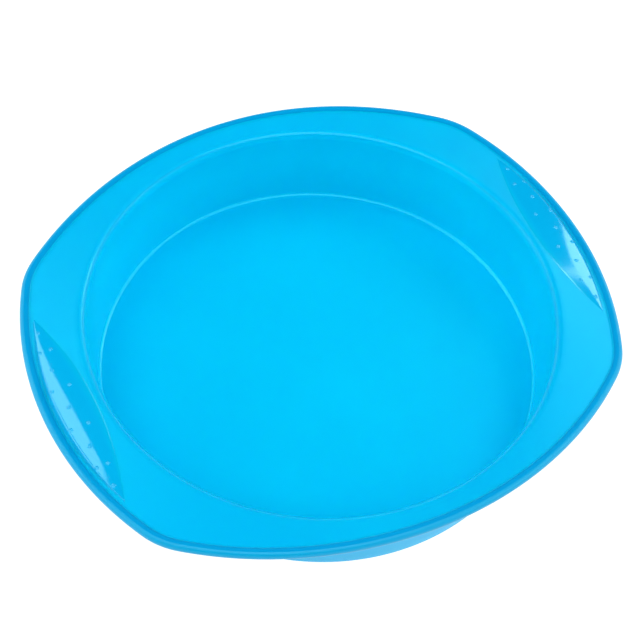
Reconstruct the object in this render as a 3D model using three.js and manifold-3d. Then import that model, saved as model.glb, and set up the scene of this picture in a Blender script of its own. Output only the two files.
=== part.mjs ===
// Round silicone baking pan with two handle wings, standing on its flat base.
// The pan is one flexible moulding. It is modelled as six bonded zones that meet at the
// moulding's own creases: floor, side wall, flange, rim bead and a thickened grip on each wing.
//
// Millimetres, +Z up. Origin: centre of the base plane. +X runs through both handle wings.
import * as THREE from "three";
import { mergeVertices } from "three/addons/utils/BufferGeometryUtils.js";
import Module from "manifold-3d";

const wasm = await Module();
wasm.setup();

// Skin and cavity
const SKIN = 2.4; // thickness of floor, wall and flange
const CAVITY_DEPTH = 48; // floor top to flange top
const FLOOR_RADIUS = 117; // inside of the wall, carried down to the floor
const MOUTH_RADIUS = 119; // inside of the wall, carried up to the flange
const FLOOR_DISC_RADIUS = 111; // where the floor ends and the wall's foot begins
const FOOT_FILLET = 2; // inside, between floor and wall
const HEEL_FILLET = 1.5; // outside, between base and wall
const MOUTH_FILLET = 4; // inside, where the wall rolls over into the flange

// Rim: four circular arcs seen from above, two across the handles and two along the sides
const HANDLE_REACH = 150.4; // centre to the outer edge, along X
const HANDLE_ARC = 176; // radius of the outer edge across each handle
const SIDE_REACH = 135.8; // centre to the outer edge, along Y
const SIDE_ARC = 194; // radius of the outer edge along each side
const CORNER_BLEND = 2.4; // how far from each corner's tip the two arcs start to blend
const BEAD_RADIUS = 2.6; // round bead that runs all along the edge
const BEAD_HEIGHT = 48.7; // mean height of the bead's centre
const DROOP = 2.4; // the wings hang this much below the mean height, the sides as much above
// The pan is soft: its left wing lies a little round from -X, and is a little narrower.
const WING_TURN = THREE.MathUtils.degToRad(4);
const WING_PINCH = THREE.MathUtils.degToRad(3);

// Grips: a lens-shaped pad on each wing, crowned towards the edge, with three rows of pips
const GRIP_INNER_X = 124.7;
const GRIP_INNER_ARC = 195; // bulges towards the cavity
const GRIP_CREST_X = 142.4;
const GRIP_CREST_ARC = 186; // bulges towards the rim
const GRIP_FLANK = 2.2; // from the crest out to the grip's outer edge
const GRIP_RISE = 2; // crest above the flange, halfway along
const GRIP_SLOPE_SHARE = 0.5; // share of the climb that is an even slope, before the crown rounds over
const GRIP_GAP = 0.3; // joint line round each grip
const PIP_RADIUS = 0.95;
const PIP_PROUD = 0.7;
const PIP_PITCH = 24;
const PIP_ROWS = [
  // share of the way from the grip's inner edge to its crest
  { share: 0.96, count: 4 },
  { share: 0.73, count: 5 },
  { share: 0.42, count: 4 },
];

// Facets
const TURN_STEPS = 96;
const FILLET_STEPS = 4;
const BEAD_STEPS = 10;
const FLANGE_STEPS = 3;
const GRIP_STEPS_ALONG = 22;
const GRIP_STEPS_ACROSS = 5;

// Worked out from the driving dimensions
const FLANGE_TOP = SKIN + CAVITY_DEPTH;
const FLANGE_START = MOUTH_RADIUS + MOUTH_FILLET;
const BEAD_NECK = Math.sqrt(BEAD_RADIUS ** 2 - (SKIN / 2) ** 2); // bead centre to the flange's end
const BEAD_NECK_ANGLE = Math.atan2(SKIN / 2, BEAD_NECK);
const ROUND_RIM = 145; // bead centre before the round pan is drawn out to its real outline
const FLANGE_END = ROUND_RIM - BEAD_NECK;

const MATERIALS = {
  body: { color: 0x00bdf2, roughness: 0.42, metalness: 0 },
  bead: { color: 0x009fe0, roughness: 0.38, metalness: 0 },
  grip: { color: 0x00b0ec, roughness: 0.14, metalness: 0 },
};

const pan = new THREE.Group();

function addMesh(name, geometry, finish) {
  const mesh = new THREE.Mesh(geometry, new THREE.MeshStandardMaterial(MATERIALS[finish]));
  mesh.name = name;
  pan.add(mesh);
}

// Distance from the centre to an arc of the outline, at an angle from the arc's own axis.
function arcReach(angle, reach, radius) {
  const centre = reach - radius;
  return centre * Math.cos(angle) + Math.sqrt(radius ** 2 - (centre * Math.sin(angle)) ** 2);
}

// How far round the outline lies at an angle: nothing at the right wing, WING_TURN at the left one.
function outlineTurn(angle) {
  return ((WING_TURN + WING_PINCH * Math.sin(angle)) * (1 - Math.cos(angle))) / 2;
}

// Distance from the centre to the bead's centre line.
function beadReach(angle) {
  const even = angle - outlineTurn(angle);
  const turn = Math.atan2(Math.abs(Math.sin(even)), Math.abs(Math.cos(even)));
  const handle = arcReach(turn, HANDLE_REACH, HANDLE_ARC);
  const side = arcReach(Math.PI / 2 - turn, SIDE_REACH, SIDE_ARC);
  const blend = Math.max(CORNER_BLEND - Math.abs(handle - side), 0);
  return Math.min(handle, side) - blend ** 2 / (4 * CORNER_BLEND) - BEAD_RADIUS;
}

// Height that the flange gains or loses at a share of its width, 0 at the wall and 1 at the bead.
function sag(angle, share) {
  return -DROOP * Math.cos(2 * angle) * share;
}

// Draws the round pan out to its real outline. Nothing inside FLANGE_START moves.
function drawOut(geometry) {
  const points = geometry.getAttribute("position");
  for (let i = 0; i < points.count; i++) {
    const x = points.getX(i);
    const y = points.getY(i);
    const radius = Math.hypot(x, y);
    const share = THREE.MathUtils.clamp((radius - FLANGE_START) / (FLANGE_END - FLANGE_START), 0, 1);
    if (share === 0) continue;
    const angle = Math.atan2(y, x);
    const scale = 1 + (share * (beadReach(angle) - ROUND_RIM)) / radius;
    points.setXYZ(i, x * scale, y * scale, points.getZ(i) + sag(angle, share));
  }
  return geometry;
}

// Turns a closed section of [radius, height] pairs about Z, then draws it out.
function revolve(section) {
  const profile = section.map(([radius, height]) => new THREE.Vector2(radius, height));
  const turned = new THREE.LatheGeometry(profile, TURN_STEPS);
  return drawOut(turned.rotateX(Math.PI / 2));
}

function arc(centreRadius, centreHeight, radius, fromAngle, toAngle, steps) {
  return Array.from({ length: steps + 1 }, (_, i) => {
    const angle = THREE.MathUtils.lerp(fromAngle, toAngle, i / steps);
    return [centreRadius + radius * Math.cos(angle), centreHeight + radius * Math.sin(angle)];
  });
}

function floorSection() {
  return [
    [0, 0],
    [FLOOR_DISC_RADIUS, 0],
    [FLOOR_DISC_RADIUS, SKIN],
    [0, SKIN],
  ];
}

function wallSection() {
  const lean = Math.atan2(MOUTH_RADIUS - FLOOR_RADIUS, CAVITY_DEPTH);
  const mouthHeight = FLANGE_TOP - MOUTH_FILLET;
  const down = -Math.PI / 2;
  return [
    [FLOOR_DISC_RADIUS, 0],
    ...arc(FLOOR_RADIUS + SKIN - HEEL_FILLET, HEEL_FILLET, HEEL_FILLET, down, -lean, FILLET_STEPS),
    ...arc(FLANGE_START, mouthHeight, MOUTH_FILLET - SKIN, Math.PI - lean, Math.PI / 2, FILLET_STEPS),
    ...arc(FLANGE_START, mouthHeight, MOUTH_FILLET, Math.PI / 2, Math.PI - lean, FILLET_STEPS + 1),
    ...arc(FLOOR_RADIUS - FOOT_FILLET, SKIN + FOOT_FILLET, FOOT_FILLET, -lean, down, FILLET_STEPS),
    [FLOOR_DISC_RADIUS, SKIN],
    [FLOOR_DISC_RADIUS, 0],
  ];
}

// A point on the flange's upper or lower face before it is drawn out.
function flangePoint(share, side) {
  const start = FLANGE_TOP - SKIN / 2;
  const height = THREE.MathUtils.lerp(start, BEAD_HEIGHT, share) + (side * SKIN) / 2;
  return [THREE.MathUtils.lerp(FLANGE_START, FLANGE_END, share), height];
}

function flangeSection() {
  const shares = Array.from({ length: FLANGE_STEPS + 1 }, (_, i) => i / FLANGE_STEPS);
  const under = shares.map((share) => flangePoint(share, -1));
  const over = shares.map((share) => flangePoint(share, 1)).reverse();
  return [...under, ...over, under[0]];
}

function beadSection() {
  const start = Math.PI - BEAD_NECK_ANGLE;
  const neck = [flangePoint(1, -1), flangePoint(1, 1)];
  const round = arc(ROUND_RIM, BEAD_HEIGHT, BEAD_RADIUS, -start, start, BEAD_STEPS).slice(1, -1);
  return [neck[0], ...round, neck[1], neck[0]];
}

// Height of the flange's upper face at a point of the drawn-out pan.
function flangeHeight(x, y) {
  const angle = Math.atan2(y, x);
  const share = (Math.hypot(x, y) - FLANGE_START) / (beadReach(angle) - BEAD_NECK - FLANGE_START);
  const held = THREE.MathUtils.clamp(share, 0, 1);
  return flangePoint(held, 1)[1] + sag(angle, held);
}

const gripInner = (y) => GRIP_INNER_X + GRIP_INNER_ARC - Math.sqrt(GRIP_INNER_ARC ** 2 - y ** 2);
const gripCrest = (y) => GRIP_CREST_X - GRIP_CREST_ARC + Math.sqrt(GRIP_CREST_ARC ** 2 - y ** 2);

// Half the length of a lens between the inner and crest arcs, each moved out by grow.
function lensHalfLength(grow) {
  const between = GRIP_CREST_X - GRIP_INNER_X + 2 * grow;
  return Math.sqrt((2 * between * GRIP_INNER_ARC * GRIP_CREST_ARC) / (GRIP_INNER_ARC + GRIP_CREST_ARC));
}

// 1 halfway along the grip, 0 at its tips.
const gripTaper = (y) => Math.max(1 - (y / lensHalfLength(0)) ** 2, 0);

// 0 at the grip's inner edge, 1 at its crest: an even slope that rounds over into the crown.
function crownShare(climb) {
  const round = 1 - GRIP_SLOPE_SHARE;
  const past = Math.max(climb - GRIP_SLOPE_SHARE, 0);
  return (climb - past ** 2 / (2 * round)) / (1 - round / 2);
}

// How far the grip stands above the flange: a crown that climbs to the crest, then a short flank.
function gripRise(x, y) {
  const climb = (x - gripInner(y)) / Math.max(gripCrest(y) - gripInner(y), GRIP_GAP);
  const flank = 1 - (x - gripCrest(y)) / GRIP_FLANK;
  const share = climb < 1 ? crownShare(climb) : flank;
  return GRIP_RISE * gripTaper(y) * THREE.MathUtils.clamp(share, 0, 1);
}

// A closed skin of sections, each a ring of the same number of points.
function loft(sections) {
  const ring = sections[0].length;
  const index = [];
  for (let i = 0; i + 1 < sections.length; i++) {
    for (let j = 0; j < ring; j++) {
      const a = i * ring + j;
      const b = i * ring + ((j + 1) % ring);
      index.push(a, b, b + ring, a, b + ring, a + ring);
    }
  }
  const geometry = new THREE.BufferGeometry();
  geometry.setAttribute("position", new THREE.Float32BufferAttribute(sections.flat(2), 3));
  return geometry.setIndex(index);
}

// A lens on a wing that points along +X, between the two height functions, ending in an edge at each tip.
function lens(grow, bottomAt, topAt) {
  const half = lensHalfLength(grow);
  const across = Array.from({ length: GRIP_STEPS_ACROSS }, (_, i) => i / GRIP_STEPS_ACROSS);
  const sections = Array.from({ length: GRIP_STEPS_ALONG + 1 }, (_, i) => {
    const y = -half * Math.cos((Math.PI * i) / GRIP_STEPS_ALONG);
    const outer = gripCrest(y) + GRIP_FLANK * gripTaper(y) + grow;
    const inner = Math.min(gripInner(y) - grow, outer);
    const crest = THREE.MathUtils.clamp(gripCrest(y), inner, outer);
    const xs = [...across.map((share) => THREE.MathUtils.lerp(inner, crest, share)), crest, outer];
    const top = xs.map((x) => [x, y, topAt(x, y)]);
    const bottom = xs.map((x) => [x, y, bottomAt(x, y)]).reverse();
    return [...top, ...bottom];
  });
  return loft(sections);
}

function toSolid(geometry) {
  const bare = geometry.clone();
  bare.deleteAttribute("normal");
  bare.deleteAttribute("uv");
  const merged = mergeVertices(bare, 1e-3);
  return new wasm.Manifold(
    new wasm.Mesh({
      numProp: 3,
      vertProperties: merged.getAttribute("position").array,
      triVerts: new Uint32Array(merged.getIndex().array),
    }),
  );
}

function toGeometry(solid) {
  const mesh = solid.getMesh();
  const geometry = new THREE.BufferGeometry();
  geometry.setAttribute("position", new THREE.BufferAttribute(mesh.vertProperties, mesh.numProp));
  geometry.setIndex(new THREE.BufferAttribute(mesh.triVerts, 1));
  geometry.computeVertexNormals();
  return geometry;
}

// A low dome that stands on the grip, with its top at the given height.
function pip(x, y, top) {
  return new THREE.SphereGeometry(PIP_RADIUS, 10, 6).translate(x, y, top - PIP_RADIUS);
}

// The grip of the wing that lies at an angle round from +X.
function gripGeometry(turn) {
  const sheet = (x, y) => {
    const angle = Math.atan2(y, x) + turn;
    const radius = Math.hypot(x, y);
    return flangeHeight(radius * Math.cos(angle), radius * Math.sin(angle));
  };
  const over = (x, y) => sheet(x, y) + gripRise(x, y);
  let solid = toSolid(lens(0, (x, y) => sheet(x, y) - SKIN, over));
  for (const { share, count } of PIP_ROWS) {
    for (let i = 0; i < count; i++) {
      const y = (i - (count - 1) / 2) * PIP_PITCH;
      const x = THREE.MathUtils.lerp(gripInner(y), gripCrest(y), share);
      solid = solid.add(toSolid(pip(x, y, over(x, y) + PIP_PROUD)));
    }
  }
  return toGeometry(solid).rotateZ(turn);
}

function flangeGeometry() {
  const pocket = lens(GRIP_GAP, () => 0, () => 2 * FLANGE_TOP);
  const right = toSolid(pocket);
  const left = toSolid(pocket.clone().rotateZ(Math.PI + WING_TURN));
  return toGeometry(toSolid(revolve(flangeSection())).subtract(right).subtract(left));
}

addMesh("pan_floor", revolve(floorSection()), "body");
addMesh("side_wall", revolve(wallSection()), "body");
addMesh("flange", flangeGeometry(), "body");
addMesh("rim_bead", revolve(beadSection()), "bead");
addMesh("right_grip", gripGeometry(0), "grip");
addMesh("left_grip", gripGeometry(Math.PI + WING_TURN), "grip");

export default pan;
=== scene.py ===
"""Round silicone baking pan: the looks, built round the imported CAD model.

Metres, +Z up, +X through the handle wings.
"""

import math

import bmesh
import bpy
import numpy as np
from mathutils import Matrix, Vector


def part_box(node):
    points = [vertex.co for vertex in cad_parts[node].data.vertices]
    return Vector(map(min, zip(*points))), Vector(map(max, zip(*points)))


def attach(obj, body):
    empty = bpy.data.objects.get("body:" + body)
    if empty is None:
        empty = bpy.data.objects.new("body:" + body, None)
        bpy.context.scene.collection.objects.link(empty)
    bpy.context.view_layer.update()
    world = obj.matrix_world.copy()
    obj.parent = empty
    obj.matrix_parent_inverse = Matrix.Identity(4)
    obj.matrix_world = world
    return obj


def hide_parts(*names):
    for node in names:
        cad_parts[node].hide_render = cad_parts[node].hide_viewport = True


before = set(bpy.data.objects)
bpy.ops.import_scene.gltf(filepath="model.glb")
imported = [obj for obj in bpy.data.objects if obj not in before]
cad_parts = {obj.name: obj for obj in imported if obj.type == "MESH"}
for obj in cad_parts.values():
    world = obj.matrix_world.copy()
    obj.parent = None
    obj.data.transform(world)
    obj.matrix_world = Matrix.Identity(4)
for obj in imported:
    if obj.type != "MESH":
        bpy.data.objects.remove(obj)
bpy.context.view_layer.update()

MM = 0.001

# ---------------------------------------------------------------- the pan's sizes
# These are the CAD model's own.
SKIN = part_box("pan_floor")[1].z
FLOOR_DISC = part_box("pan_floor")[1].x
FLANGE_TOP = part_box("side_wall")[1].z
HANDLE_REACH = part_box("rim_bead")[1].x
SIDE_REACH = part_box("rim_bead")[1].y  # 0.08 mm over the CAD's own, because the turned wing widens the box
HANDLE_ARC = 176 * MM
SIDE_ARC = 194 * MM
FLOOR_RADIUS = 117 * MM
MOUTH_RADIUS = 119 * MM
FOOT_FILLET = 2 * MM
HEEL_FILLET = 1.5 * MM
BEAD_RADIUS = 2.6 * MM
BEAD_HEIGHT = 48.7 * MM
DROOP = 2.4 * MM  # how far the wings hang, and how far the plain sides rise
WING_TURN = math.radians(4)  # the soft left wing lies this far round from -X
WING_PINCH = math.radians(3)  # and is a little narrower
# These are rounder than the CAD model's by less than 1 mm, which is closer to the photo.
CORNER_BLEND = 3.2 * MM
MOUTH_FILLET = 4.6 * MM
# These are of the finer surface alone.
GATE_RADIUS = 1.9 * MM  # the moulding gate's mark in the middle of the floor
GATE_DEPTH = 0.12 * MM
GATE_FLAT = 0.3  # share of its radius that has the full depth
BEAD_JOIN = 0.9 * MM  # how softly the flange runs into its own round edge
EDGE_CORE = BEAD_RADIUS - 0.04 * MM  # that edge's radius: it is hidden inside the bead
NECK = 1.5 * MM  # the flange's rows lie closer together from this far inside that edge
PAST_NECK = 1.2  # inside the bead the flange's slope runs on to this share of its width

LEFT_WING = math.pi + WING_TURN
RIGHT_WING = 0.0
WALL_LEAN = math.atan2(MOUTH_RADIUS - FLOOR_RADIUS, FLANGE_TOP - SKIN)
FLANGE_START = MOUTH_RADIUS + MOUTH_FILLET

# ---------------------------------------------------------------- the grips' sizes
# These are the CAD model's own.
GRIP_INNER_X = 124.7 * MM
GRIP_INNER_ARC = 195 * MM
GRIP_CREST_X = 142.4 * MM
GRIP_CREST_ARC = 186 * MM
GRIP_HALF = 58.05 * MM  # half its length, where its rise has tapered to nothing
GRIP_RISE = 2.0 * MM
SLOPE_SHARE = 0.5  # share of the climb that is an even slope, before the crown rounds over
PIP_PITCH = 24 * MM
PIP_ROWS = ((0.96, 4), (0.73, 5), (0.42, 4))  # share of the way to the crest, and how many
# These differ from the CAD model's by less than 0.5 mm.
GRIP_FLANK = 2.6 * MM
PIP_RADIUS = 1.1 * MM
PIP_PROUD = 0.45 * MM
# These are of the finer surface alone.
GRIP_END_SHARE = 0.995  # the pad stops just short of its tips, inside the flange
LEAST_FLANK = 0.1 * MM
CREASE_SHARE = 0.04  # share of the climb that softens the inner edge
CREASE_LEAD = 1.3 * CREASE_SHARE  # the pad starts this far before its inner edge
GRIP_SINK = 0.03 * MM  # the pad's edges lie this far inside the flange
GRIP_ROOT = 0.7 * MM  # and its underside this far
PIP_MARGIN = 0.6 * MM  # the mesh is refined this far outside a pip
PIP_CUTS = 3
UPWARD_FACE = 0.5  # a face of the pad's top looks up at least this much
UPWARD_POINT = 0.4  # and a point of it this much

# ---------------------------------------------------------------- how fine the meshes are
COLUMNS = 720
GATE_RADII = (0.7, 1.3, 1.6, 2.0, 2.4, 3.2)  # millimetres, over the gate's mark
FLAT_RADII = (9, 22, 38, 54, 70, 84, 96, 105)  # millimetres, on the flat of the floor
UNDER_GATE = 4  # millimetres, the underside's innermost row
FOOT_ROWS = 8  # in the foot's fillet and in the heel's
WALL_ROWS = 10
MOUTH_ROWS = 12
FLANGE_ROWS = 12
NECK_ROWS = 14
EDGE_ROWS = 12
UNDER_MOUTH_ROWS = 6
UNDER_WALL_ROWS = 8
BEAD_ROWS = 36
GRIP_STATIONS = 160
CLIMB_POINTS = 31
FLANK_SHARES = np.array((0.15, 0.3, 0.45, 0.6, 0.75, 0.9, 1.0, 1.2))  # of the flank's width, from the crest
ROOT_POINTS = 6

# ---------------------------------------------------------------- the silicone's blues, painted light and shade among them, and finishes
# Each point of a mesh has a zone number. A number between two zones gives a colour between their blues.
# Several blues hold painted light and shade. The floor's is lighter than the flange's, painted as if lit
# from the table below through the thin floor.
# The wall's is lighter still: painted light against its shade. The bead's is a painted dark band of shade,
# and the lip's a paler blue painted as if lit by the table.
# The grips' deeper blue stands for their thicker silicone.
UNDER, FLOOR, WALL, FLANGE, GRIP, BEAD, LIP = range(7)
ZONE_BLUES_WITH_PAINTED_LIGHT = (
    (0.0, 0.44, 0.75),
    (0.0, 0.50, 0.75),
    (0.0, 0.62, 0.86),
    (0.0, 0.42, 0.70),
    (0.0, 0.38, 0.71),
    (0.0, 0.27, 0.57),
    (0.0, 0.34, 0.62),
)
# Between these limits one zone's blue turns into the next one's.
WALL_SHADE = (FLOOR_RADIUS - FOOT_FILLET - 0.5 * MM, FLOOR_RADIUS)
FLANGE_SHADE = (MOUTH_RADIUS - 0.9 * MM, MOUTH_RADIUS + 1.7 * MM)
EDGE_SHADE = (-BEAD_RADIUS - 1.2 * MM, 2.4 * MM - BEAD_RADIUS)  # outwards from the bead's centre line
GRIP_SHADE = (0, 0.25)  # shares of the climb
LIP_START = math.radians(78)  # below this angle on its outer side the bead is shinier, and paler by painted light from the table below
LIP_SHADE = (LIP_START - math.radians(12), LIP_START + math.radians(12))

# The mould's rounded edges come out shinier than its faces, between these radii.
SHINY_FOOT = (FLOOR_RADIUS - FOOT_FILLET, FLOOR_RADIUS + 0.2 * MM)
SHINY_MOUTH = (MOUTH_RADIUS - 0.3 * MM, MOUTH_RADIUS + 0.5 * MOUTH_FILLET)
MOUTH_UPWARD = 0.75  # only the part of the mouth's edge that looks up at least this much
POLISH_SHARE = 0.3  # share of the grip's flank that is as glossy as its top

# The tint of the highlights.
BLUE_GLINT = (0, 0.9, 1)
EDGE_GLINT = (0.15, 1, 1)
PALE_GLINT = (0.5, 0.95, 1)

CLOUD_SHARE = 0.12  # how far the clouds shift the colour along the zones' blues
CLOUD_SCALE = 14
CLOUD_DETAIL = 3
GRAIN_SCALE = 1400
GRAIN_DETAIL = 2
GRAIN_DEPTH = 0.1 * MM
LIGHT_PATH = (0.4, 1.0, 1.6)  # how far red, green and blue light spreads inside, in LIGHT_PATH_UNITs
LIGHT_PATH_UNIT = 3 * MM

# ---------------------------------------------------------------- the set's sizes
CAMERA_AZIMUTH = math.radians(-117.67)
CAMERA_ELEVATION = math.radians(54.18)
CAMERA_DISTANCE = 0.7344
CAMERA_ROLL = math.radians(4.39)
CAMERA_AIM = Vector((0.0113, 0.0225, 0.0024))
CAMERA_LENS = 75.12  # millimetres, as the sensor's width is
CAMERA_SENSOR = 36

TABLE_HALF = 4
TABLE_DROP = 0.4 * MM
TABLE_GREY = 0.2
TABLE_ROUGHNESS = 0.8
TABLE_GLOW = 0.97  # it is nearly white by its own light, so that the pan's shadow hardly shows

SCREEN_EDGE = 31  # degrees above the horizon where the white side screens end
SCREEN_SIDES = (0.3, 0.7)  # how far to the side a direction points where they start, and where they are full
HORIZON_EDGE = 11  # degrees above the horizon where the white horizon ends, all the way round
EDGE_SOFTNESS = 3  # degrees
SCREEN_LIGHT = (1.0, 1.0, 1.0)
ROOM_LIGHT = (0.03, 0.085, 0.1)


# ---------------------------------------------------------------- shape helpers
def smooth(t):
    """0 up to 0, 1 from 1 on, and a soft step between them."""
    t = np.clip(t, 0, 1)
    return t * t * (3 - 2 * t)


def ramp(value, low, high):
    """A smooth step from 0 at the first limit to 1 at the second."""
    return smooth((value - low) / (high - low))


def lerp(a, b, t):
    return a + (b - a) * t


def soft_max(a, b, width):
    """The greater of two values, rounded over where they differ by less than width."""
    return np.maximum(a, b) + np.maximum(width - np.abs(a - b), 0) ** 2 / (4 * width)


def turned(x, y, turn):
    """A point turned anticlockwise about the pan's axis."""
    return x * math.cos(turn) - y * math.sin(turn), x * math.sin(turn) + y * math.cos(turn)


def arc_reach(turn, reach, radius):
    """Distance from the centre to an arc of the outline, at an angle from the arc's own axis."""
    centre = reach - radius
    return centre * np.cos(turn) + np.sqrt(radius**2 - (centre * np.sin(turn)) ** 2)


def outline_turn(angle):
    """How far round the outline lies at an angle: nothing at the right wing, WING_TURN at the left one."""
    return (WING_TURN + WING_PINCH * np.sin(angle)) * (1 - np.cos(angle)) / 2


def bead_reach(angle):
    """Distance from the centre to the bead's centre line."""
    even = angle - outline_turn(angle)
    turn = np.arctan2(np.abs(np.sin(even)), np.abs(np.cos(even)))
    handle = arc_reach(turn, HANDLE_REACH, HANDLE_ARC)
    side = arc_reach(math.pi / 2 - turn, SIDE_REACH, SIDE_ARC)
    return -soft_max(-handle, -side, CORNER_BLEND) - BEAD_RADIUS


def bead_neck(angle):
    """Distance from the centre to where the flange's faces meet the bead."""
    return bead_reach(angle) - math.sqrt(BEAD_RADIUS**2 - (SKIN / 2) ** 2)


def flange_height(radius, angle):
    """Height of the flange's middle layer, where the wings droop and the sides rise."""
    share = np.clip((radius - FLANGE_START) / (bead_neck(angle) - FLANGE_START), 0, PAST_NECK)
    level = lerp(FLANGE_TOP - SKIN / 2, BEAD_HEIGHT, share)
    return level - DROOP * np.cos(2 * angle) * share


def bead_height(angle):
    return flange_height(bead_neck(angle), angle)


def flange_face(radius, angle, side):
    """Height of the flange's upper (side 1) or lower (-1) face, blended into its round edge."""
    inside = np.maximum(EDGE_CORE**2 - (radius - bead_reach(angle)) ** 2, 0)
    edge = side * bead_height(angle) + np.sqrt(inside)
    face = side * flange_height(radius, angle) + SKIN / 2
    return side * np.where(inside > 0, soft_max(face, edge, BEAD_JOIN), face)


def arc_rows(centre_r, centre_z, radius, start, end, steps):
    """The points of an arc in the pan's section, both ends among them."""
    return [
        (centre_r + radius * math.cos(a), centre_z + radius * math.sin(a))
        for a in np.linspace(start, end, steps + 1)
    ]


def rows_between(start, end, steps):
    """The points that part a straight stretch of the section into even steps, without its ends."""
    return [(lerp(start[0], end[0], i / steps), lerp(start[1], end[1], i / steps)) for i in range(1, steps)]


def ring(angles, radius, height, zone):
    """One closed row of (x, y, z, zone) points round the pan."""
    x, y = radius * np.cos(angles), radius * np.sin(angles)
    return np.column_stack(np.broadcast_arrays(x, y, height, zone))


def skin_through(name, rings, joined=False):
    """One closed skin through closed rings of (x, y, z, zone) points.

    The last ring is joined to the first one, or both are closed with a fan.
    """
    n = len(rings[0])
    points = list(np.concatenate(rings))
    faces = []
    for i in range(len(rings) if joined else len(rings) - 1):
        a, b = i * n, (i + 1) % len(rings) * n
        faces += [(a + j, b + j, b + (j + 1) % n, a + (j + 1) % n) for j in range(n)]
    for end in () if joined else (0, len(rings) - 1):
        points.append(np.mean(rings[end], axis=0))
        faces += [(len(points) - 1, end * n + j, end * n + (j + 1) % n) for j in range(n)]
    points = np.array(points)
    mesh = bpy.data.meshes.new(name)
    mesh.from_pydata(points[:, :3].tolist(), [], faces)
    zone = mesh.attributes.new("zone", "FLOAT", "POINT")
    zone.data.foreach_set("value", points[:, 3].astype(np.float32))
    bm = bmesh.new()
    bm.from_mesh(mesh)
    bmesh.ops.recalc_face_normals(bm, faces=bm.faces)
    if bm.calc_volume(signed=True) < 0:
        bmesh.ops.reverse_faces(bm, faces=bm.faces)
    bm.to_mesh(mesh)
    bm.free()
    for polygon in mesh.polygons:
        polygon.use_smooth = True
    return mesh


def add_object(name, data):
    thing = bpy.data.objects.new(name, data)
    bpy.context.scene.collection.objects.link(thing)
    return thing


def add_piece(mesh, materials, nodes):
    """A piece of the pan, with its finishes, attached to the root, and standing for the CAD nodes, which it
    hides.
    """
    piece = add_object(mesh.name, mesh)
    for material in materials:
        mesh.materials.append(material)
    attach(piece, "root")
    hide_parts(*nodes)


def finish_second(mesh, chosen):
    """Gives the faces that a test chooses the mesh's second material."""
    for polygon in mesh.polygons:
        if chosen(polygon):
            polygon.material_index = 1


# ---------------------------------------------------------------- floor, wall and flange, moulded in one
def upper_profile(angles):
    """The rows of the body's upper side, as (radius, height), from the floor's centre out to the bead."""
    for radius in (*GATE_RADII, *FLAT_RADII):
        yield radius * MM, SKIN - GATE_DEPTH * (1 - smooth(radius * MM / GATE_RADIUS - GATE_FLAT))
    yield FLOOR_DISC, SKIN
    foot_centre = FLOOR_RADIUS - FOOT_FILLET, SKIN + FOOT_FILLET
    mouth_centre = FLANGE_START, FLANGE_TOP - MOUTH_FILLET
    foot = arc_rows(*foot_centre, FOOT_FILLET, -math.pi / 2, -WALL_LEAN, FOOT_ROWS)
    mouth = arc_rows(*mouth_centre, MOUTH_FILLET, math.pi - WALL_LEAN, math.pi / 2, MOUTH_ROWS)
    yield from foot
    yield from rows_between(foot[-1], mouth[0], WALL_ROWS)
    yield from mouth[:-1]
    for radius in flange_radii(angles):
        yield radius, flange_face(radius, angles, 1)


def flange_radii(angles):
    """The radii of the flange's rows, closer together near the bead."""
    neck = bead_reach(angles) - EDGE_CORE - NECK
    wide = [lerp(FLANGE_START, neck, i / FLANGE_ROWS) for i in range(FLANGE_ROWS)]
    close = [lerp(neck, bead_reach(angles), i / NECK_ROWS) for i in range(NECK_ROWS + 1)]
    return wide + close


def lower_profile(angles):
    """The rows of the body's hidden side, from its edge inside the bead back to the centre."""
    for i in range(1, EDGE_ROWS):
        a = math.pi / 2 - math.pi * i / EDGE_ROWS
        yield bead_reach(angles) + EDGE_CORE * math.cos(a), bead_height(angles) + EDGE_CORE * math.sin(a)
    for radius in reversed(flange_radii(angles)):
        yield radius, flange_face(radius, angles, -1)
    mouth_centre = FLANGE_START, FLANGE_TOP - MOUTH_FILLET
    heel_centre = FLOOR_RADIUS + SKIN - HEEL_FILLET, HEEL_FILLET
    mouth = arc_rows(*mouth_centre, MOUTH_FILLET - SKIN, math.pi / 2, math.pi - WALL_LEAN, UNDER_MOUTH_ROWS)
    heel = arc_rows(*heel_centre, HEEL_FILLET, -WALL_LEAN, -math.pi / 2, FOOT_ROWS)
    yield from mouth[1:]
    yield from rows_between(mouth[-1], heel[0], UNDER_WALL_ROWS)
    yield from heel
    for radius in (*reversed(FLAT_RADII), UNDER_GATE):
        yield radius * MM, 0.0


def upper_zone(radius, angles):
    """The zone numbers of the upper side. Beside the bead the flange takes on the grips' blue."""
    edge = ramp(radius - bead_reach(angles), *EDGE_SHADE)
    # The steps from floor to wall to flange pick up the painted light and shade in the zones' blues.
    return FLOOR + ramp(radius, *WALL_SHADE) + ramp(radius, *FLANGE_SHADE) + (GRIP - FLANGE) * edge


def build_body():
    angles = np.arange(COLUMNS) * math.tau / COLUMNS
    rings = [ring(angles, r, z, upper_zone(r, angles)) for r, z in upper_profile(angles)]
    rings += [ring(angles, r, z, UNDER) for r, z in lower_profile(angles)]
    return skin_through("pan_body", rings)


def on_shiny_edge(polygon):
    """Whether a face of the body lies on the foot's fillet or on the mouth's edge."""
    centre = polygon.center
    radius = math.hypot(centre.x, centre.y)
    on_foot = SHINY_FOOT[0] < radius < SHINY_FOOT[1] and SKIN < centre.z < SKIN + FOOT_FILLET
    on_mouth = SHINY_MOUTH[0] < radius < SHINY_MOUTH[1] and polygon.normal.z > MOUTH_UPWARD
    return on_foot or on_mouth


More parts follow.
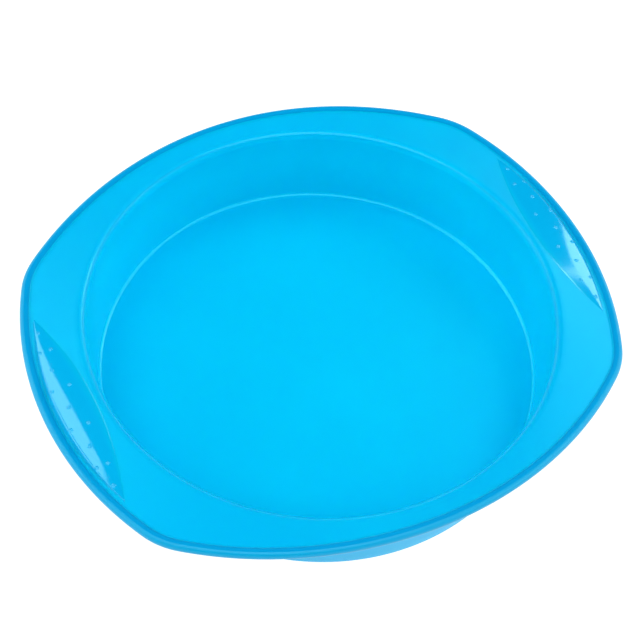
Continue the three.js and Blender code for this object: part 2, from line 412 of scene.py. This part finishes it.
# ---------------------------------------------------------------- the bead round the flange
def build_bead():
    angles = np.arange(COLUMNS) * math.tau / COLUMNS
    rings = []
    for i in range(BEAD_ROWS):
        a = math.tau * (i / BEAD_ROWS - 0.5)
        radius = bead_reach(angles) + BEAD_RADIUS * math.cos(a)
        height = bead_height(angles) + BEAD_RADIUS * math.sin(a)
        # Painted light and shade: the upper side takes the dark band of painted shade, the outer lip a paler
        # blue painted as if lit by the table.
        rings.append(ring(angles, radius, height, lerp(LIP, BEAD, ramp(a, *LIP_SHADE))))
    return skin_through("rim_bead_skin", rings, joined=True)


def on_bead_lip(polygon):
    """Whether a face of the bead lies below LIP_START on its outer side, or anywhere on its lower one."""
    centre = polygon.center
    angle = math.atan2(centre.y, centre.x)
    out = math.hypot(centre.x, centre.y) - bead_reach(angle)
    return math.atan2(centre.z - bead_height(angle), out) < LIP_START


# ---------------------------------------------------------------- the grips on the wings
def grip_inner(y):
    return GRIP_INNER_X + GRIP_INNER_ARC - np.sqrt(GRIP_INNER_ARC**2 - y**2)


def grip_crest(y):
    return GRIP_CREST_X - GRIP_CREST_ARC + np.sqrt(GRIP_CREST_ARC**2 - y**2)


def crown_share(climb):
    """0 at the grip's inner edge, 1 at its crest: a soft crease, an even slope, then the crown."""
    round_part = 1 - SLOPE_SHARE
    past = np.maximum(climb - SLOPE_SHARE, 0)
    return (soft_max(climb, 0, CREASE_SHARE) - past**2 / (2 * round_part)) / (1 - round_part / 2)


def grip_section(y, axis):
    """The grip's closed section at a distance along it: over the crown, down the flank and back below."""
    taper = max(1 - (y / GRIP_HALF) ** 2, 0)
    inner, crest = grip_inner(y), grip_crest(y)
    climb = np.linspace(-CREASE_LEAD, 1, CLIMB_POINTS)
    flank = crest + max(GRIP_FLANK * taper, LEAST_FLANK) * FLANK_SHARES
    top = np.concatenate((lerp(inner, crest, climb), flank))
    rise = GRIP_RISE * taper * np.concatenate((crown_share(climb), 1 - smooth(FLANK_SHARES))) - GRIP_SINK
    x = np.concatenate((top, np.linspace(top[-1], top[0], ROOT_POINTS)))
    rise = np.concatenate((rise, np.full(ROOT_POINTS, -GRIP_ROOT)))
    east, north = turned(x, y, axis)
    height = flange_height(np.hypot(east, north), np.arctan2(north, east)) + SKIN / 2 + rise
    zone = lerp(FLANGE, GRIP, ramp((x - inner) / (crest - inner), *GRIP_SHADE))
    return np.column_stack((east, north, height, zone))


def pip_centres(axis):
    for share, count in PIP_ROWS:
        for i in range(count):
            y = (i - (count - 1) / 2) * PIP_PITCH
            yield turned(lerp(grip_inner(y), grip_crest(y), share), y, axis)


def raise_pips(mesh, axis):
    """Refines the grip round each pip and lifts a small dome there."""
    centres = np.array(list(pip_centres(axis)))
    bm = bmesh.new()
    bm.from_mesh(mesh)

    def nearest(point):
        return np.min(np.hypot(centres[:, 0] - point.x, centres[:, 1] - point.y))

    def by_a_pip(face):
        return face.normal.z > UPWARD_FACE and nearest(face.calc_center_median()) < PIP_RADIUS + PIP_MARGIN

    edges = list(dict.fromkeys(edge for face in bm.faces if by_a_pip(face) for edge in face.edges))
    bmesh.ops.subdivide_edges(bm, edges=edges, cuts=PIP_CUTS, use_grid_fill=True)
    bmesh.ops.triangulate(bm, faces=[face for face in bm.faces if len(face.verts) > 4])
    bm.normal_update()
    for vert in bm.verts:
        share = nearest(vert.co) / PIP_RADIUS
        if vert.normal.z > UPWARD_POINT and share < 1:
            vert.co.z += PIP_PROUD * (1 - share**2) ** 2
    bm.to_mesh(mesh)
    bm.free()


def build_grip(name, axis):
    end = GRIP_END_SHARE * GRIP_HALF
    stations = [lerp(-end, end, i / GRIP_STATIONS) for i in range(GRIP_STATIONS + 1)]
    mesh = skin_through(name, [grip_section(y, axis) for y in stations])
    raise_pips(mesh, axis)
    return mesh


def past_polish(polygon, axis):
    """Whether a face of the grip lies so far down the flank that the polish has ended."""
    x, y = turned(polygon.center.x, polygon.center.y, -axis)
    return x > grip_crest(y) + POLISH_SHARE * GRIP_FLANK


# ---------------------------------------------------------------- materials
def new_material(name):
    material = bpy.data.materials.new(name)
    material.use_nodes = True
    tree = material.node_tree
    return material, tree, tree.nodes["Principled BSDF"]


def add_math(tree, operation, *values):
    """A Math node's result. Each value is a number or another node's output."""
    node = tree.nodes.new("ShaderNodeMath")
    node.operation = operation
    for socket, value in zip(node.inputs, values):
        if isinstance(value, bpy.types.NodeSocket):
            tree.links.new(value, socket)
        else:
            socket.default_value = value
    return node.outputs[0]


def add_noise(tree, scale, detail):
    """A random pattern that stays on the piece."""
    coords = tree.nodes.new("ShaderNodeTexCoord")
    noise = tree.nodes.new("ShaderNodeTexNoise")
    noise.inputs["Scale"].default_value = scale
    noise.inputs["Detail"].default_value = detail
    tree.links.new(coords.outputs["Object"], noise.inputs["Vector"])
    return noise.outputs["Fac"]


def add_zone_colour(tree):
    """The zone's blue, painted light and shade included, drifting a little with a soft cloud so that no area
    is flat.
    """
    zone = tree.nodes.new("ShaderNodeAttribute")
    zone.attribute_name = "zone"
    cloud = add_math(tree, "SUBTRACT", add_noise(tree, CLOUD_SCALE, CLOUD_DETAIL), 0.5)
    place = add_math(tree, "DIVIDE", zone.outputs["Fac"], LIP)
    colours = tree.nodes.new("ShaderNodeValToRGB")
    stops = colours.color_ramp.elements
    while len(stops) < len(ZONE_BLUES_WITH_PAINTED_LIGHT):
        stops.new(0.5)
    for i, blue in enumerate(ZONE_BLUES_WITH_PAINTED_LIGHT):
        stops[i].position = i / (len(ZONE_BLUES_WITH_PAINTED_LIGHT) - 1)
        stops[i].color = (*blue, 1)
    tree.links.new(add_math(tree, "MULTIPLY_ADD", cloud, CLOUD_SHARE, place), colours.inputs["Fac"])
    return colours.outputs["Color"]


def silicone(name, glint, index, roughness, depth, grain):
    """Translucent silicone. glint is its highlights' tint, depth the share of light that goes through."""
    material, tree, shader = new_material(name)
    shader.inputs["Roughness"].default_value = roughness
    shader.inputs["IOR"].default_value = index
    shader.inputs["Specular Tint"].default_value = (*glint, 1)
    shader.inputs["Subsurface Weight"].default_value = depth
    shader.inputs["Subsurface Radius"].default_value = LIGHT_PATH
    shader.inputs["Subsurface Scale"].default_value = LIGHT_PATH_UNIT
    tree.links.new(add_zone_colour(tree), shader.inputs["Base Color"])
    bump = tree.nodes.new("ShaderNodeBump")
    bump.inputs["Strength"].default_value = grain
    bump.inputs["Distance"].default_value = GRAIN_DEPTH
    tree.links.new(add_noise(tree, GRAIN_SCALE, GRAIN_DETAIL), bump.inputs["Height"])
    tree.links.new(bump.outputs["Normal"], shader.inputs["Normal"])
    return material


def make_pan():
    satin = silicone("silicone_satin", BLUE_GLINT, index=1.55, roughness=0.36, depth=0.5, grain=0.08)
    edge = silicone("silicone_edge", EDGE_GLINT, index=1.7, roughness=0.2, depth=0.5, grain=0.1)
    gloss = silicone("silicone_gloss", PALE_GLINT, index=1.7, roughness=0.08, depth=0, grain=0.03)
    rim = silicone("silicone_rim", BLUE_GLINT, index=1.3, roughness=0.6, depth=0.1, grain=0.08)
    lip = silicone("silicone_lip", PALE_GLINT, index=1.42, roughness=0.32, depth=0.1, grain=0.08)

    body = build_body()
    add_piece(body, (satin, edge), ("pan_floor", "side_wall", "flange"))
    finish_second(body, on_shiny_edge)

    bead = build_bead()
    add_piece(bead, (rim, lip), ("rim_bead",))
    finish_second(bead, on_bead_lip)

    for side, axis in (("left", LEFT_WING), ("right", RIGHT_WING)):
        pad = build_grip(f"{side}_grip_pad", axis)
        add_piece(pad, (gloss, satin), (f"{side}_grip",))
        finish_second(pad, lambda polygon: past_polish(polygon, axis))


# ---------------------------------------------------------------- the set
def toward(azimuth, elevation):
    """The direction at an azimuth and an elevation, as a vector of length 1."""
    level = math.cos(elevation)
    return Vector((level * math.cos(azimuth), level * math.sin(azimuth), math.sin(elevation)))


def facing(target, direction, distance):
    """The matrix of a camera or a light that faces its target from a direction and a distance."""
    turn = (-direction).to_track_quat("-Z", "Y").to_matrix().to_4x4()
    return Matrix.Translation(target + direction * distance) @ turn


def add_camera():
    data = bpy.data.cameras.new("camera")
    data.lens = CAMERA_LENS
    data.sensor_width = CAMERA_SENSOR
    camera = add_object("camera", data)
    level = facing(CAMERA_AIM, toward(CAMERA_AZIMUTH, CAMERA_ELEVATION), CAMERA_DISTANCE)
    camera.matrix_world = level @ Matrix.Rotation(CAMERA_ROLL, 4, "Z")
    bpy.context.scene.camera = camera


def add_stage():
    bm = bmesh.new()
    bmesh.ops.create_grid(bm, x_segments=1, y_segments=1, size=TABLE_HALF)
    mesh = bpy.data.meshes.new("table")
    bm.to_mesh(mesh)
    bm.free()
    table = add_object("table", mesh)
    table.location.z = -TABLE_DROP
    material, _, shader = new_material("white_table")
    shader.inputs["Base Color"].default_value = (TABLE_GREY, TABLE_GREY, TABLE_GREY, 1)
    shader.inputs["Roughness"].default_value = TABLE_ROUGHNESS
    shader.inputs["Emission Color"].default_value = (1, 1, 1, 1)
    shader.inputs["Emission Strength"].default_value = TABLE_GLOW
    mesh.materials.append(material)


def add_dot(tree, direction, axis):
    """How far a direction points along an axis."""
    node = tree.nodes.new("ShaderNodeVectorMath")
    node.operation = "DOT_PRODUCT"
    tree.links.new(direction, node.inputs[0])
    node.inputs[1].default_value = axis
    return node.outputs["Value"]


def add_ramp(tree, value, low, high):
    """A smooth step from 0 at the first limit to 1 at the second."""
    step = tree.nodes.new("ShaderNodeMapRange")
    step.interpolation_type = "SMOOTHSTEP"
    step.inputs["From Min"].default_value = low
    step.inputs["From Max"].default_value = high
    tree.links.new(value, step.inputs["Value"])
    return step.outputs["Result"]


def add_below(tree, height, edge):
    """1 below an elevation in degrees and 0 above it, with a soft edge."""
    above, under = (math.sin(math.radians(edge + soft)) for soft in (EDGE_SOFTNESS, -EDGE_SOFTNESS))
    return add_ramp(tree, height, above, under)


def light_world():
    """A dim room with a white horizon, and taller white screens on both sides of the set."""
    world = bpy.data.worlds.new("studio")
    bpy.context.scene.world = world
    world.use_nodes = True
    tree = world.node_tree
    direction = tree.nodes.new("ShaderNodeTexCoord").outputs["Generated"]
    height = add_dot(tree, direction, (0, 0, 1))
    sideways = add_math(tree, "ABSOLUTE", add_dot(tree, direction, toward(CAMERA_AZIMUTH + math.pi / 2, 0)))
    beside = add_ramp(tree, sideways, *SCREEN_SIDES)
    screens = add_math(tree, "MULTIPLY", beside, add_below(tree, height, SCREEN_EDGE))
    sky = tree.nodes.new("ShaderNodeMix")
    sky.data_type = "RGBA"
    sky.inputs["A"].default_value = (*ROOM_LIGHT, 1)
    sky.inputs["B"].default_value = (*SCREEN_LIGHT, 1)
    white = add_math(tree, "MAXIMUM", screens, add_below(tree, height, HORIZON_EDGE))
    tree.links.new(white, sky.inputs["Factor"])
    tree.links.new(sky.outputs["Result"], tree.nodes["Background"].inputs["Color"])


def add_softbox(name, turn, elevation, distance, width, height, power):
    """A soft light that faces the origin. turn is counted anticlockwise from the camera's right."""
    data = bpy.data.lights.new(name, "AREA")
    data.shape = "RECTANGLE"
    data.size = width
    data.size_y = height
    data.energy = power
    direction = toward(CAMERA_AZIMUTH + math.pi / 2 + math.radians(turn), math.radians(elevation))
    add_object(name, data).matrix_world = facing(Vector(), direction, distance)


def light_set():
    light_world()
    add_softbox("back_left_box", turn=142, elevation=55, distance=1.4, width=0.45, height=0.7, power=3.2)
    add_softbox("back_right_box", turn=50, elevation=44, distance=1.4, width=0.45, height=0.6, power=4.4)
    add_softbox("left_box", turn=190, elevation=32, distance=1.5, width=1.2, height=0.8, power=6.4)
    add_softbox("right_box", turn=-10, elevation=32, distance=1.5, width=1.2, height=0.8, power=5.8)
    add_softbox("top_box", turn=-90, elevation=72, distance=2.0, width=2.4, height=1.6, power=28)
    bpy.context.scene.view_settings.view_transform = "Standard"


make_pan()
add_camera()
add_stage()
light_set()
